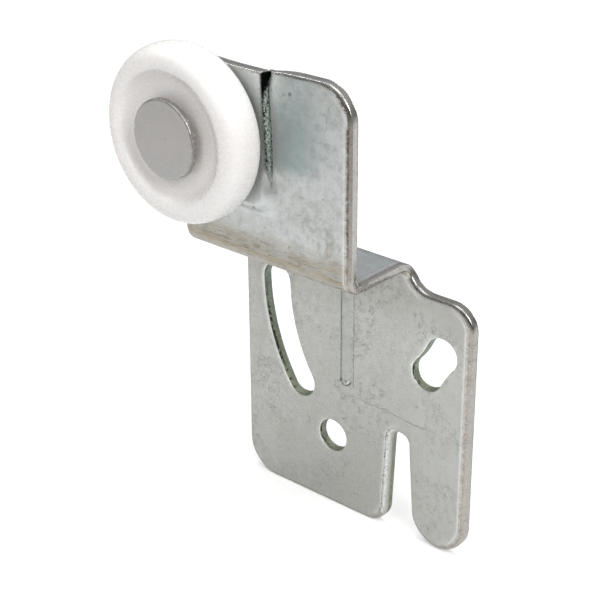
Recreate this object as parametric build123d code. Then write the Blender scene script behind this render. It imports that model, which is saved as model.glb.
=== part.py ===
"""Sliding door roller: a folded steel hanger bracket that carries a small nylon wheel.

Frame: the origin is the wheel's centre. The wheel turns about Y, the bracket stands behind the
wheel on its +Y side and hangs down along -Z, and +X points across the bracket. Millimetres.
"""
from build123d import *
import os
from math import asin, cos, degrees, floor, radians, sin

# ---- sheet metal -------------------------------------------------------------------------
SHEET = 1.5                    # sheet thickness
BEND_INSIDE = 1.3              # inside radius of both bends
BEND_OUTSIDE = BEND_INSIDE + SHEET
PLATE_OFFSET = 12.7            # step between the front faces of the two plates
UPPER_Y = 4.9                  # front face of the upper plate
LOWER_Y = UPPER_Y + PLATE_OFFSET
LEFT_X = -5.15                 # left edge, shared by both plates

# ---- upper plate and ledge ---------------------------------------------------------------
UPPER_RIGHT_X = 25.6
UPPER_TOP_Z = 10.2
UPPER_CORNER = 5.2             # radius of the two top corners
LEDGE_TOP_Z = -17.9
LEDGE_BOTTOM_Z = LEDGE_TOP_Z - SHEET

# ---- pad behind the wheel, pressed forward out of the upper plate -------------------------
PAD_RAISE = 1.3
PAD_RIGHT_X = 11.4
PAD_BOTTOM_Z = -9.4
PAD_CORNER = 3.0
PAD_RAMP = 1.2                 # height of the ramp that leads to the pad's lower edge

# ---- lower plate -------------------------------------------------------------------------
LOWER_RIGHT_X = 37.0
LOWER_BOTTOM_Z = -63.1
SHOULDER_Z = -22.1             # top edge to the right of the ledge
SHOULDER_FILLET = 4.2          # concave radius that leads from the ledge to the shoulder
SHOULDER_CORNER = 3.9
BOTTOM_LEFT_CORNER = 5.3
SLOT_CORNER = 3.9              # corner between the bottom edge and the open slot

# ---- openings of the lower plate ---------------------------------------------------------
SCREW_HOLE = (12.15, -51.05)
SCREW_HOLE_RADIUS = 2.65

ARC_SLOT_CENTRE = (31.0, -27.4)
ARC_SLOT_RADIUS = 30.0
ARC_SLOT_WIDTH = 5.2
ARC_SLOT_FROM = 181.0          # degrees, upper end
ARC_SLOT_TO = 212.7            # degrees, lower end

EYE_LOWER = (29.5, -34.35)     # double eye: two holes that run into each other
EYE_RADIUS = 2.65
EYE_PITCH = 4.45
EYE_SLOPE = 57.5               # degrees above +X
EYE_WAIST_FILLET = 12.0

OPEN_SLOT_TOP = (25.0, -47.4)  # centre of the rounded end of the open slot
OPEN_SLOT_RADIUS = 1.6
OPEN_SLOT_LEFT_X = 22.8        # the slot's sides at its mouth
FINGER_LEFT_X = 27.4
FINGER_RADIUS = (LOWER_RIGHT_X - FINGER_LEFT_X) / 2
FINGER_BOTTOM_Z = -62.75

GROOVE_LEFT_X = 13.8           # shallow pressed groove below the ledge
GROOVE_WIDTH = 2.1
GROOVE_BOTTOM_Z = -41.0
GROOVE_DEPTH = 0.15

# ---- wheel -------------------------------------------------------------------------------
WHEEL_RADIUS = 12.7
RIM_EDGE_RADIUS = 11.2         # where the crowned tread ends
RIM_EDGE_Y = 3.1
LIP_CREST = (10.2, 3.25)       # radius and half width of the lip beside the dish
LIP_INSIDE = (9.4, 3.0)
DISH_WALL = (8.73, 2.31)       # halfway up the dish's rounded wall
DISH_FLOOR = (7.8, 2.05)       # where the flat floor of the dish meets its wall
HUB_LIP_RADIUS = 4.2           # the floors reach in to here, hold the race and shield the balls

# ---- ball bearing ------------------------------------------------------------------------
BALL_RADIUS = 1.0
PITCH_RADIUS = 4.6
BALL_PLAY = 0.04               # radial clearance of the balls in their grooves
BALL_GAP = 0.02                # least gap between two neighbouring balls
RACE_OUTSIDE_RADIUS = 6.6
RACE_LAND_RADIUS = 5.2
RACE_HALF_WIDTH = 1.6
CONE_LAND_RADIUS = 4.0
CONE_NECK_RADIUS = 3.2
CONE_SPLIT = 0.01              # half of the gap between the two cones
CONE_BORE_RADIUS = 1.92

# ---- axle rivet --------------------------------------------------------------------------
HEAD_RADIUS = 5.68
HEAD_FRONT_Y = -3.81
HEAD_BACK_Y = -3.0
HEAD_EDGE = 0.25
SHANK_RADIUS = 1.9
TENON_RADIUS = 1.6
TAIL_RADIUS = 2.8
TAIL_EDGE = 0.6                # rounding of the peened end
TAIL_HEIGHT = 0.85

PAD_Y = UPPER_Y - PAD_RAISE    # front face of the pad
BACK = 30.0                    # a length that clears the whole part


def xz_prism(face, y_from, y_to):
    """Extrude a face drawn as (x, z) between two distances along Y."""
    plane = Plane(origin=(0, y_to, 0), x_dir=(1, 0, 0), z_dir=(0, -1, 0))
    return extrude(plane * face, amount=y_to - y_from)


def polar(centre, radius, angle):
    """The (x, z) point at an angle in degrees on a circle."""
    return centre[0] + radius * cos(radians(angle)), centre[1] + radius * sin(radians(angle))


def rectangle(x_from, x_to, z_from, z_to):
    return Pos(x_from, z_from) * Rectangle(x_to - x_from, z_to - z_from, align=(Align.MIN, Align.MIN))


def quarter_bend(y, z, turn):
    """A quarter of the bent sheet around (y, z), turned by an angle in degrees."""
    ring = Circle(BEND_OUTSIDE) - Circle(BEND_INSIDE)
    corner = Rectangle(BEND_OUTSIDE, BEND_OUTSIDE, align=(Align.MIN, Align.MIN))
    return Pos(y, z) * Rot(0, 0, turn) * (ring & corner)


def folded_sheet():
    """The sheet's folded section, extruded over the full width of the lower plate."""
    bend_up_y = UPPER_Y + BEND_OUTSIDE
    bend_up_z = LEDGE_BOTTOM_Z + BEND_OUTSIDE
    bend_down_y = LOWER_Y - BEND_INSIDE
    bend_down_z = LEDGE_BOTTOM_Z - BEND_INSIDE
    section = rectangle(UPPER_Y, UPPER_Y + SHEET, bend_up_z, UPPER_TOP_Z)
    section += quarter_bend(bend_up_y, bend_up_z, 180)
    section += rectangle(bend_up_y, bend_down_y, LEDGE_BOTTOM_Z, LEDGE_TOP_Z)
    section += quarter_bend(bend_down_y, bend_down_z, 0)
    section += rectangle(LOWER_Y, LOWER_Y + SHEET, LOWER_BOTTOM_Z, bend_down_z)
    plane = Plane(origin=(LEFT_X, 0, 0), x_dir=(0, 1, 0), z_dir=(1, 0, 0))
    return extrude(plane * section, amount=LOWER_RIGHT_X - LEFT_X)


def upper_outline():
    """Outline of the upper plate and the ledge, as seen along Y."""
    plate = rectangle(LEFT_X, UPPER_RIGHT_X, LEDGE_BOTTOM_Z - SHEET, UPPER_TOP_Z)
    top_corners = plate.vertices().sort_by(Axis.Y)[-2:]
    return fillet(top_corners, UPPER_CORNER)


def lower_outline():
    """Outline of the lower plate, from the ledge clockwise round the shoulder and the finger."""
    fillet_centre = (UPPER_RIGHT_X + SHOULDER_FILLET, SHOULDER_Z + SHOULDER_FILLET)
    shoulder = (LOWER_RIGHT_X - SHOULDER_CORNER, SHOULDER_Z - SHOULDER_CORNER)
    finger = (LOWER_RIGHT_X - FINGER_RADIUS, FINGER_BOTTOM_Z + FINGER_RADIUS)
    slot_corner = (OPEN_SLOT_LEFT_X - SLOT_CORNER, LOWER_BOTTOM_Z + SLOT_CORNER)
    left_corner = (LEFT_X + BOTTOM_LEFT_CORNER, LOWER_BOTTOM_Z + BOTTOM_LEFT_CORNER)
    with BuildSketch() as outline:
        with BuildLine():
            start = (UPPER_RIGHT_X, LEDGE_TOP_Z + SHEET)
            Line(start, polar(fillet_centre, SHOULDER_FILLET, 180))
            arc_between(fillet_centre, SHOULDER_FILLET, 180, 270)
            Line(polar(fillet_centre, SHOULDER_FILLET, 270), polar(shoulder, SHOULDER_CORNER, 90))
            arc_between(shoulder, SHOULDER_CORNER, 90, 0)
            Line(polar(shoulder, SHOULDER_CORNER, 0), polar(finger, FINGER_RADIUS, 0))
            arc_between(finger, FINGER_RADIUS, 0, -180)
            Line(polar(finger, FINGER_RADIUS, 180), polar(OPEN_SLOT_TOP, OPEN_SLOT_RADIUS, 0))
            arc_between(OPEN_SLOT_TOP, OPEN_SLOT_RADIUS, 0, 180)
            Line(polar(OPEN_SLOT_TOP, OPEN_SLOT_RADIUS, 180), polar(slot_corner, SLOT_CORNER, 0))
            arc_between(slot_corner, SLOT_CORNER, 0, -90)
            Line(polar(slot_corner, SLOT_CORNER, 270), polar(left_corner, BOTTOM_LEFT_CORNER, 270))
            arc_between(left_corner, BOTTOM_LEFT_CORNER, 270, 180)
            Line(polar(left_corner, BOTTOM_LEFT_CORNER, 180), (LEFT_X, LEDGE_TOP_Z + SHEET))
            Line((LEFT_X, LEDGE_TOP_Z + SHEET), start)
        make_face()
    return outline.sketch


def arc_between(centre, radius, angle_from, angle_to):
    """An arc of the outline being drawn, from one angle in degrees to another."""
    middle = (angle_from + angle_to) / 2
    points = [polar(centre, radius, angle) for angle in (angle_from, middle, angle_to)]
    ThreePointArc(*points)


def arc_slot():
    """The long slot, whose centre line is an arc."""
    half = ARC_SLOT_WIDTH / 2
    outside = ARC_SLOT_RADIUS + half
    inside = ARC_SLOT_RADIUS - half
    top = polar(ARC_SLOT_CENTRE, ARC_SLOT_RADIUS, ARC_SLOT_FROM)
    bottom = polar(ARC_SLOT_CENTRE, ARC_SLOT_RADIUS, ARC_SLOT_TO)
    with BuildSketch() as slot:
        with BuildLine():
            arc_between(ARC_SLOT_CENTRE, outside, ARC_SLOT_FROM, ARC_SLOT_TO)
            arc_between(bottom, half, ARC_SLOT_TO, ARC_SLOT_TO + 180)
            arc_between(ARC_SLOT_CENTRE, inside, ARC_SLOT_TO, ARC_SLOT_FROM)
            arc_between(top, half, ARC_SLOT_FROM - 180, ARC_SLOT_FROM)
        make_face()
    return slot.sketch


def double_eye():
    """Two equal holes that overlap along a slope, with a rounded waist."""
    upper = polar(EYE_LOWER, EYE_PITCH, EYE_SLOPE)
    pair = Pos(*EYE_LOWER) * Circle(EYE_RADIUS) + Pos(*upper) * Circle(EYE_RADIUS)
    return fillet(pair.vertices(), EYE_WAIST_FILLET)


def pad_outline():
    """Outline of the raised pad, run past the plate's left and top edges."""
    pad = rectangle(LEFT_X - SHEET, PAD_RIGHT_X, PAD_BOTTOM_Z - PAD_RAMP, UPPER_TOP_Z + SHEET)
    lower_right = pad.vertices().sort_by(Axis.Y)[:2].sort_by(Axis.X)[-1]
    return fillet(lower_right, PAD_CORNER)


def pad_ramp(y_face):
    """A wedge-ended slab with its raised face at y_face and its foot PAD_RAISE behind it."""
    section = Polygon(
        (y_face, UPPER_TOP_Z),
        (y_face, PAD_BOTTOM_Z),
        (y_face + PAD_RAISE, PAD_BOTTOM_Z - PAD_RAMP),
        (y_face + PAD_RAISE, UPPER_TOP_Z),
        align=None,
    )
    plane = Plane(origin=(LEFT_X, 0, 0), x_dir=(0, 1, 0), z_dir=(1, 0, 0))
    return extrude(plane * section, amount=PAD_RIGHT_X - LEFT_X)


def bracket():
    """The folded hanger: upper plate with its pad, ledge, and lower plate with its openings."""
    bend_y = LOWER_Y - BEND_INSIDE
    front_zone = xz_prism(upper_outline(), 0, bend_y)
    back_zone = xz_prism(lower_outline(), bend_y, BACK)
    body = folded_sheet() & (front_zone + back_zone)

    pad_zone = xz_prism(pad_outline() & upper_outline(), 0, UPPER_Y + SHEET)
    body += pad_ramp(PAD_Y) & pad_zone
    body -= pad_ramp(PAD_Y + SHEET) & pad_zone

    openings = arc_slot() + double_eye() + Pos(*SCREW_HOLE) * Circle(SCREW_HOLE_RADIUS)
    body -= xz_prism(openings, bend_y, BACK)
    body -= xz_prism(Circle(TENON_RADIUS), 0, UPPER_Y + SHEET)

    groove = rectangle(
        GROOVE_LEFT_X, GROOVE_LEFT_X + GROOVE_WIDTH, GROOVE_BOTTOM_Z, LEDGE_BOTTOM_Z - BEND_INSIDE
    )
    body -= xz_prism(groove, LOWER_Y - SHEET, LOWER_Y + GROOVE_DEPTH)
    return body


def turned(profile):
    """Revolve a face drawn as (radius, y) about the wheel's axis."""
    return revolve(profile, Axis.Y)


def step_ring(inside, outside, y_from, y_to):
    """A plain ring's section, drawn as (radius, y)."""
    return rectangle(inside, outside, y_from, y_to)


def ball_groove():
    return Pos(PITCH_RADIUS, 0) * Circle(BALL_RADIUS + BALL_PLAY)


def tyre_side(side):
    """Section points of one side of the tyre (-1 front, 1 rear), from the dish out to the tread."""
    stations = [DISH_FLOOR, DISH_WALL, LIP_INSIDE, LIP_CREST, (RIM_EDGE_RADIUS, RIM_EDGE_Y)]
    return [(radius, side * half_width) for radius, half_width in stations]


def wheel_tyre():
    """Nylon tyre: crowned tread, a lip and a dish on each side, and a pocket that grips the race."""
    front = tyre_side(-1)
    rear = tyre_side(1)
    with BuildSketch() as section:
        with BuildLine():
            Line((HUB_LIP_RADIUS, front[0][1]), front[0])
            ThreePointArc(*front[0:3])
            ThreePointArc(*front[2:5])
            ThreePointArc(front[4], (WHEEL_RADIUS, 0), rear[4])
            ThreePointArc(*rear[2:5])
            ThreePointArc(*rear[0:3])
            Line(rear[0], (HUB_LIP_RADIUS, rear[0][1]))
            Line((HUB_LIP_RADIUS, rear[0][1]), (HUB_LIP_RADIUS, front[0][1]))
        make_face()
    pocket = step_ring(HUB_LIP_RADIUS, RACE_OUTSIDE_RADIUS, -RACE_HALF_WIDTH, RACE_HALF_WIDTH)
    return turned(section.sketch - pocket)


def outer_race():
    """Steel ring in the tyre's hub, with the outer half of the ball groove."""
    ring = step_ring(RACE_LAND_RADIUS, RACE_OUTSIDE_RADIUS, -RACE_HALF_WIDTH, RACE_HALF_WIDTH)
    return turned(ring - ball_groove())


def cone(side, far_y):
    """Half of the inner race, on one side (-1 or 1) of the balls, with a neck out to far_y."""
    split_y = side * CONE_SPLIT
    shoulder_y = side * RACE_HALF_WIDTH
    flange = step_ring(CONE_BORE_RADIUS, CONE_LAND_RADIUS, *sorted((split_y, shoulder_y)))
    neck = step_ring(CONE_BORE_RADIUS, CONE_NECK_RADIUS, *sorted((shoulder_y, far_y)))
    return turned(flange + neck - ball_groove())


def axle_rivet():
    """Shouldered rivet: flat head, journal, thin tenon through the pad, and a peened tail."""
    tail_y = PAD_Y + SHEET
    head = step_ring(0, HEAD_RADIUS, HEAD_FRONT_Y, HEAD_BACK_Y)
    journal = step_ring(0, SHANK_RADIUS, HEAD_BACK_Y, PAD_Y)
    tenon = step_ring(0, TENON_RADIUS, PAD_Y, tail_y)
    tail = step_ring(0, TAIL_RADIUS, tail_y, tail_y + TAIL_HEIGHT)
    body = turned(head + journal + tenon + tail)
    head_edge = body.edges().filter_by(GeomType.CIRCLE).sort_by(Axis.Y)[0]
    body = fillet(head_edge, HEAD_EDGE)
    tail_edge = body.edges().filter_by(GeomType.CIRCLE).sort_by(Axis.Y)[-1]
    return fillet(tail_edge, TAIL_EDGE)


def ball_count():
    """As many balls as the pitch circle holds with the least gap between neighbours."""
    step = 2 * degrees(asin((BALL_RADIUS + BALL_GAP / 2) / PITCH_RADIUS))
    return floor(360 / step)


def balls():
    """The loose balls, one solid each, evenly spaced round the axle."""
    count = ball_count()
    row = []
    for index in range(count):
        x, z = polar((0, 0), PITCH_RADIUS, 360 * index / count)
        row.append(Pos(x, 0, z) * Sphere(BALL_RADIUS))
    return row


def main():
    nodes = {
        "bracket": bracket(),
        "wheel_tyre": wheel_tyre(),
        "outer_race": outer_race(),
        "front_cone": cone(-1, HEAD_BACK_Y),
        "rear_cone": cone(1, PAD_Y),
        "axle_rivet": axle_rivet(),
    }
    for number, ball in enumerate(balls(), start=1):
        nodes[f"ball_{number:02d}"] = ball
    os.makedirs("parts", exist_ok=True)
    for name, shape in nodes.items():
        shape.label = name
        export_step(shape, f"parts/{name}.step")


main()
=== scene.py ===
"""Sliding door roller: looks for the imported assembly.

The bracket is one folded sheet, drawn flat as (x, v) with v running up the sheet, given its thickness,
rolled edges, pad and groove, and then folded. The tyre and the rivet are turned from their sections.
Lengths are in millimetres until a mesh is made, when they become metres.
"""
from math import cos, pi, radians, sin

import bpy
import numpy as np
from mathutils import Matrix, Vector, noise
from mathutils.geometry import delaunay_2d_cdt


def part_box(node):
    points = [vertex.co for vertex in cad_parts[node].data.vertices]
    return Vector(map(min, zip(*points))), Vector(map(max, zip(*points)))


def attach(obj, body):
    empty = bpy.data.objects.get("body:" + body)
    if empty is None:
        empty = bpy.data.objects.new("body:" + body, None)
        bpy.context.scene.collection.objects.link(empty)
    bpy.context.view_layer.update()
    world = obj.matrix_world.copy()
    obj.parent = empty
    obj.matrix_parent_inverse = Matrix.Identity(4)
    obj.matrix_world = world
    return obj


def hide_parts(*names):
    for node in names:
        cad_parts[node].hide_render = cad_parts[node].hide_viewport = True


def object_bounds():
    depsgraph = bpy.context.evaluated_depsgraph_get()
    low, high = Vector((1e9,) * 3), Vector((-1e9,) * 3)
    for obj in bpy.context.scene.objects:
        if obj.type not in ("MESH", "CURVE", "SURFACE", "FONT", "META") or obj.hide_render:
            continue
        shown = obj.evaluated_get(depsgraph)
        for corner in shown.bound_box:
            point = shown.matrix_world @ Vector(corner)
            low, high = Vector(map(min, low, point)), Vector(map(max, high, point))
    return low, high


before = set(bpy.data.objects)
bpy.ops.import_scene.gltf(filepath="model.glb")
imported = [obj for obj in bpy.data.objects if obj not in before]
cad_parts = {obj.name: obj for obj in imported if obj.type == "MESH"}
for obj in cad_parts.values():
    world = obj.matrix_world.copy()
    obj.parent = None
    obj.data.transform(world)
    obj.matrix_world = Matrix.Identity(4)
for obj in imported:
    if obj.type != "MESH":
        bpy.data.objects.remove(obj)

MM = 0.001
cad_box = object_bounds()
bracket_low, bracket_high = (np.array(corner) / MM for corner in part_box("bracket"))
tyre_high = np.array(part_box("wheel_tyre")[1]) / MM
rivet_low, rivet_high = (np.array(corner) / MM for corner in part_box("axle_rivet"))

# ---- sheet -----------------------------------------------------------
SHEET = 1.5
BEND_INSIDE = 1.3              # inside radius of both bends
BEND_OUTSIDE = BEND_INSIDE + SHEET
BEND_NEUTRAL = BEND_INSIDE + 0.45 * SHEET
BEND_LENGTH = BEND_NEUTRAL * pi / 2
PAD_RAISE = 1.3                # the pad that the wheel is riveted to stands forward by this

LEFT_X = bracket_low[0]
LOWER_RIGHT_X = bracket_high[0]
BOTTOM_Z = bracket_low[2]
TOP_Z = bracket_high[2]
LOWER_Y = bracket_high[1] - SHEET
UPPER_Y = bracket_low[1] + PAD_RAISE
UPPER_RIGHT_X = 25.6
LEDGE_BOTTOM_Z = -19.4

# heights on the flat sheet: lower plate, bend, ledge, bend, upper plate
V_BEND_DOWN = LEDGE_BOTTOM_Z - BEND_INSIDE
V_LEDGE = V_BEND_DOWN + BEND_LENGTH
V_BEND_UP = V_LEDGE + (LOWER_Y - BEND_INSIDE) - (UPPER_Y + BEND_OUTSIDE)
V_UPPER = V_BEND_UP + BEND_LENGTH
UPPER_SHIFT = V_UPPER - (LEDGE_BOTTOM_Z + BEND_OUTSIDE)    # v - z on the upper plate
V_TOP = TOP_Z + UPPER_SHIFT
BENDS = ((V_BEND_DOWN, V_LEDGE), (V_BEND_UP, V_UPPER))

# ---- outline ---------------------------------------------------------
UPPER_CORNER = 5.2
SHOULDER_Z = -22.1
SHOULDER_FILLET = 4.2
SHOULDER_CORNER = 3.9
BOTTOM_LEFT_CORNER = 5.3
SLOT_CORNER = 3.9
OPEN_SLOT_TOP = (25.0, -47.4)
OPEN_SLOT_RADIUS = 1.6
OPEN_SLOT_LEFT_X = 22.8
OPEN_SLOT_ZONE = 2.9           # the edges this far to either side belong to the slot
FINGER_LEFT_X = 27.4
FINGER_RADIUS = (LOWER_RIGHT_X - FINGER_LEFT_X) / 2
FINGER_BOTTOM_Z = -62.75

SCREW_HOLE = (12.15, -51.05)
SCREW_HOLE_RADIUS = 2.65
ARC_SLOT_CENTRE = (31.0, -27.4)
ARC_SLOT_RADIUS = 30.0
ARC_SLOT_HALF_WIDTH = 2.65
ARC_SLOT_FROM = 181.0          # degrees, upper end
ARC_SLOT_TO = 212.7            # degrees, lower end
EYE_LOWER = (29.5, -34.35)
EYE_RADIUS = 2.65
EYE_PITCH = 4.45               # between the centres of its two holes
EYE_SLOPE = 57.5               # degrees above +X
EYE_WAIST_FILLET = 12.0
TENON_RADIUS = 1.6             # of the rivet, and of its hole in the pad

# ---- groove, pad and tear --------------------------------------------
GROOVE_X = (13.8, 15.9)        # its two sides
GROOVE_BOTTOM_Z = -41.0
GROOVE_DEPTH = 0.15
GROOVE_SIDE = 0.14             # width of each sloping side

PAD_BOTTOM_Z = -10.0           # middle of the ramp below the pad
PAD_CORNER = 3.0
TEAR_TOP_X = 11.17             # the tear runs straight down from the top edge, then leans right
TEAR_KINK_Z = 8.8
TEAR_LEAN = 0.056              # sideways per height
TEAR_STEPS = (0.0, 0.08, 0.16, 0.26, 0.4, 0.6, 0.8, 1.0, 1.2, 1.5)    # shares of the tear's width
TEAR_END_Z = -7.0
DRAW_RAISE = 0.32              # how far the sheet right of the tear is drawn forward
DRAW_REACH = 8.0
CREVICE_DEPTH = 0.3            # of the torn bottom below the plate's front face
LEAST_THICKNESS = 0.4          # of the drawn sheet along the tear

# ---- mesh ------------------------------------------------------------
GRID = 0.36                    # spacing of the points on the faces
BEND_GRID = 0.2                # row spacing in the bends
LINE_SPACING = 0.3             # along the groove
TEAR_SPACING = 0.24            # along the tear
LINE_CLEARANCE = 0.13          # no grid point lies closer to a line than this
RING_CLEARANCE = 0.2           # nor closer to the innermost ring of an edge
FAR = 99.0                     # distance from any edge, for points that are on no ring
EDGE_SPACING = 0.3
OUTER_ROLL = (1.25, 0.5)       # width and drop of the rolled front edge
HOLE_ROLL = (0.34, 0.06)
HOLE_TAPER = 0.18              # how much smaller an opening is on the back, per side
ARC_SLOT_TAPER = 0.3
BACK_CHAMFER = 0.1
RING_STEPS = (0.0, 0.04, 0.1, 0.2, 0.34, 0.52, 0.74, 1.0)    # shares of the rolled edge's width
WALL_ROWS = (0.06, 0.2, 0.38, 0.56, 0.76, 0.95)    # shares of the way from front to back

# ---- turned pieces, as radius and half width or y --------------------
HUB_LIP_RADIUS = 4.2           # the dish floors reach in to here, over the bearing
POCKET_RADIUS = 6.6            # the bearing's seat inside the hub
POCKET_HALF_WIDTH = 1.6
DISH_FLOOR = (7.8, 2.05)
DISH_WALL = (8.71, 2.285)
LIP_INSIDE = (9.32, 2.84)
LIP_TURN = [(9.39, 2.95), (9.46, 3.03), (9.58, 3.1), (9.82, 3.19)]    # from there to the crest
LIP_CREST_RADIUS = 10.2
TREAD_CROWN = 2 / 2.35         # power of the superellipse that the tread follows

HEAD_RADIUS = 5.68
HEAD_EDGE = 0.25
HEAD_BACK_Y = -3.0
SHANK_RADIUS = 1.9
TAIL_RADIUS = 2.8
TAIL_EDGE = 0.6
TYRE_SEGMENTS = 200
RIVET_SEGMENTS = 128


def smoothstep(low, high, value):
    t = np.clip((value - low) / (high - low), 0, 1)
    return t * t * (3 - 2 * t)


def wobble(x, y, z, scale, seed):
    """Smooth noise between about -1 and 1 at each point, with features of 1/scale millimetres."""
    points = np.column_stack([np.broadcast_to(a, np.shape(x)) for a in (x, y, z)]) * scale + seed
    return np.array([noise.noise(Vector(p)) for p in points])


def build_mesh(name, vertices, faces, sharp=40):
    """A smooth-shaded mesh object from points in millimetres, with edges sharper than an angle kept."""
    mesh = bpy.data.meshes.new(name)
    mesh.from_pydata((np.asarray(vertices) * MM).tolist(), [], [list(map(int, f)) for f in faces])
    mesh.validate()
    mesh.shade_smooth()
    mesh.set_sharp_from_angle(angle=radians(sharp))
    mesh.update()
    obj = bpy.data.objects.new(name, mesh)
    bpy.context.scene.collection.objects.link(obj)
    return obj


def store(obj, name, values):
    """Keep one number per vertex for the object's material."""
    layer = obj.data.attributes.new(name, "FLOAT", "POINT")
    layer.data.foreach_set("value", np.asarray(values, np.float32))


# ==== Outline of the flat sheet =======================================
def arc(centre, radius, angle_from, angle_to):
    count = max(3, int(abs(radians(angle_to - angle_from)) * radius / (EDGE_SPACING * 0.8)))
    angles = np.radians(np.linspace(angle_from, angle_to, count + 1))
    return [(centre[0] + radius * cos(a), centre[1] + radius * sin(a)) for a in angles]


def fill_gaps(points, spacing):
    """Close a loop of points and add points wherever two neighbours are too far apart."""
    filled = []
    for here, there in zip(points, points[1:] + points[:1]):
        gap = np.hypot(there[0] - here[0], there[1] - here[1])
        if gap < 1e-6:
            continue
        in_bend = any(a < (here[1] + there[1]) / 2 < b for a, b in BENDS)
        count = max(1, round(gap / (spacing * (0.6 if in_bend else 1.0))))
        for k in range(count):
            t = k / count
            filled.append((here[0] * (1 - t) + there[0] * t, here[1] * (1 - t) + there[1] * t))
    return np.array(filled)


def outer_loop():
    """The blank's outline, counter-clockwise from the bottom left corner."""
    left = (LEFT_X + BOTTOM_LEFT_CORNER, BOTTOM_Z + BOTTOM_LEFT_CORNER)
    slot = (OPEN_SLOT_LEFT_X - SLOT_CORNER, BOTTOM_Z + SLOT_CORNER)
    finger = (LOWER_RIGHT_X - FINGER_RADIUS, FINGER_BOTTOM_Z + FINGER_RADIUS)
    shoulder = (LOWER_RIGHT_X - SHOULDER_CORNER, SHOULDER_Z - SHOULDER_CORNER)
    fillet = (UPPER_RIGHT_X + SHOULDER_FILLET, SHOULDER_Z + SHOULDER_FILLET)
    top_right = (UPPER_RIGHT_X - UPPER_CORNER, V_TOP - UPPER_CORNER)
    top_left = (LEFT_X + UPPER_CORNER, V_TOP - UPPER_CORNER)
    points = arc(left, BOTTOM_LEFT_CORNER, 180, 270)
    points += arc(slot, SLOT_CORNER, 270, 360)
    points += arc(OPEN_SLOT_TOP, OPEN_SLOT_RADIUS, 180, 0)
    points += arc(finger, FINGER_RADIUS, 180, 360)
    points += arc(shoulder, SHOULDER_CORNER, 0, 90)
    points += arc(fillet, SHOULDER_FILLET, 270, 180)
    points += [(UPPER_RIGHT_X, v) for bend in BENDS for v in bend if v > fillet[1]]
    points += arc(top_right, UPPER_CORNER, 0, 90)
    points += [(tear_x(TOP_Z) + step * tear_width(TOP_Z), V_TOP) for step in reversed(TEAR_STEPS)]
    points += arc(top_left, UPPER_CORNER, 90, 180)
    points += [(LEFT_X, v) for bend in reversed(BENDS) for v in reversed(bend)]
    return fill_gaps(points, EDGE_SPACING)


def circle_loop(centre, radius):
    return fill_gaps(arc(centre, radius, 360, 0)[:-1], EDGE_SPACING)


def arc_slot_loop():
    half = ARC_SLOT_HALF_WIDTH
    middle = arc(ARC_SLOT_CENTRE, ARC_SLOT_RADIUS, ARC_SLOT_FROM, ARC_SLOT_TO)
    top, bottom = middle[0], middle[-1]
    points = arc(ARC_SLOT_CENTRE, ARC_SLOT_RADIUS + half, ARC_SLOT_TO, ARC_SLOT_FROM)
    points += arc(top, half, ARC_SLOT_FROM, ARC_SLOT_FROM - 180)
    points += arc(ARC_SLOT_CENTRE, ARC_SLOT_RADIUS - half, ARC_SLOT_FROM, ARC_SLOT_TO)
    points += arc(bottom, half, ARC_SLOT_TO + 180, ARC_SLOT_TO)
    return fill_gaps(points, EDGE_SPACING)


def double_eye_loop():
    """Two overlapping circles joined by a fillet on each side of their waist."""
    along = np.array((cos(radians(EYE_SLOPE)), sin(radians(EYE_SLOPE))))
    across = np.array((-along[1], along[0]))
    lower = np.array(EYE_LOWER)
    middle = lower + along * EYE_PITCH / 2
    reach = ((EYE_RADIUS + EYE_WAIST_FILLET) ** 2 - (EYE_PITCH / 2) ** 2) ** 0.5
    turn = np.degrees(np.arctan2(reach, EYE_PITCH / 2))
    waist = 90 - turn
    upper = lower + along * EYE_PITCH
    left_fillet = middle + across * reach
    right_fillet = middle - across * reach
    s = EYE_SLOPE
    points = arc(lower, EYE_RADIUS, s - turn, s - 360 + turn)
    points += arc(left_fillet, EYE_WAIST_FILLET, s - 90 - waist, s - 90 + waist)
    points += arc(upper, EYE_RADIUS, s + 180 - turn, s - 180 + turn)
    points += arc(right_fillet, EYE_WAIST_FILLET, s + 90 - waist, s + 90 + waist)
    return fill_gaps(points, EDGE_SPACING)


def inward_normals(loop):
    """Unit normals that point into the sheet, for a loop with the sheet on its left."""
    ahead = np.roll(loop, -1, axis=0) - np.roll(loop, 1, axis=0)
    normals = np.column_stack([-ahead[:, 1], ahead[:, 0]])
    return normals / np.linalg.norm(normals, axis=1)[:, None]


def inside(points, loop):
    """Which points lie inside a closed loop."""
    x, y = points[:, 0][:, None], points[:, 1][:, None]
    x1, y1 = loop[:, 0], loop[:, 1]
    x2, y2 = np.roll(x1, -1), np.roll(y1, -1)
    crosses = (y1 > y) != (y2 > y)
    with np.errstate(divide="ignore", invalid="ignore"):
        at = x1 + (y - y1) * (x2 - x1) / (y2 - y1)
    return (crosses & (x < at)).sum(axis=1) % 2 == 1


# ==== Shape of the sheet ==============================================
def tear_x(z):
    """Where the pad's torn right edge runs at a height."""
    return TEAR_TOP_X + TEAR_LEAN * np.maximum(TEAR_KINK_Z - z, 0)


def tear_width(z):
    """From the pad's edge to the rim of the drawn zone: a wedge at the top, narrow at the bottom."""
    return 0.42 + 0.2 * smoothstep(-5.0, 0.0, z) + 0.6 * smoothstep(7.2, 10.0, z)


def pad_distance(x, z):
    """Distance outside the pad's boundary: its torn right side, round corner and lower edge."""
    centre_x = tear_x(z) - PAD_CORNER
    centre_z = PAD_BOTTOM_Z + PAD_CORNER
    beyond_x = np.maximum(x - centre_x, 0)
    beyond_z = np.maximum(centre_z - z, 0)
    return np.hypot(beyond_x, beyond_z) - PAD_CORNER


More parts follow.
